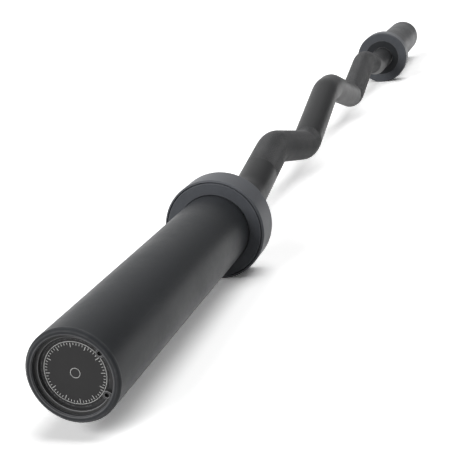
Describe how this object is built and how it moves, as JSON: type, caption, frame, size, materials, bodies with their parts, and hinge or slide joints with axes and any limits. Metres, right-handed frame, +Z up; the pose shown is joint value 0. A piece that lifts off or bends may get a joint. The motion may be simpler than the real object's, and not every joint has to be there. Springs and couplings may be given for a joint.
{
  "type": "ez curl bar",
  "caption": "Cranked steel curl bar with a free-turning plate sleeve, stop collar and recessed snap-ring end cap at each end, in matte black.",
  "frame": {"origin": "under the middle of the shaft, on the plane that the two collars stand on", "axes": "+X along the bar from the left sleeve to the right, +Z up with the bends' middle peak up, +Y across"},
  "size_m": [1.334, 0.071, 0.0734],
  "materials": {
    "shaft_coat": "matte black baked coating over knurled and plain steel",
    "sleeve_coat": "matte black baked coating, fine grain",
    "collar_coat": "matte black baked coating, fine grain",
    "cap_coat": "satin black paint",
    "label_film": "matte black film with a plain pale line pattern",
    "phosphate_steel": "dark phosphated spring steel",
    "bright_steel": "ground steel",
    "bronze": "machined sintered bronze"
  },
  "bodies": {
    "shaft": {"bent_shaft": "shaft_coat", "left_inner_thrust_washer": "bright_steel", "left_outer_thrust_washer": "bright_steel", "left_shaft_retaining_ring": "phosphate_steel", "right_inner_thrust_washer": "bright_steel", "right_outer_thrust_washer": "bright_steel", "right_shaft_retaining_ring": "phosphate_steel"},
    "left_sleeve": {"left_sleeve_tube": "sleeve_coat", "left_collar": "collar_coat", "left_inner_bush": "bronze", "left_outer_bush": "bronze", "left_end_cap": "cap_coat", "left_end_cap_retaining_ring": "phosphate_steel", "left_end_label": "label_film"},
    "right_sleeve": {"right_sleeve_tube": "sleeve_coat", "right_collar": "collar_coat", "right_inner_bush": "bronze", "right_outer_bush": "bronze", "right_end_cap": "cap_coat", "right_end_cap_retaining_ring": "phosphate_steel", "right_end_label": "label_film"}
  },
  "joints": [
    {"name": "left_sleeve_spin", "type": "hinge", "parent": "shaft", "child": "left_sleeve", "pos_m": [-0.55, 0, 0.0355], "axis": [1, 0, 0], "continuous": true},
    {"name": "right_sleeve_spin", "type": "hinge", "parent": "shaft", "child": "right_sleeve", "pos_m": [0.55, 0, 0.0355], "axis": [1, 0, 0], "continuous": true}
  ]
}
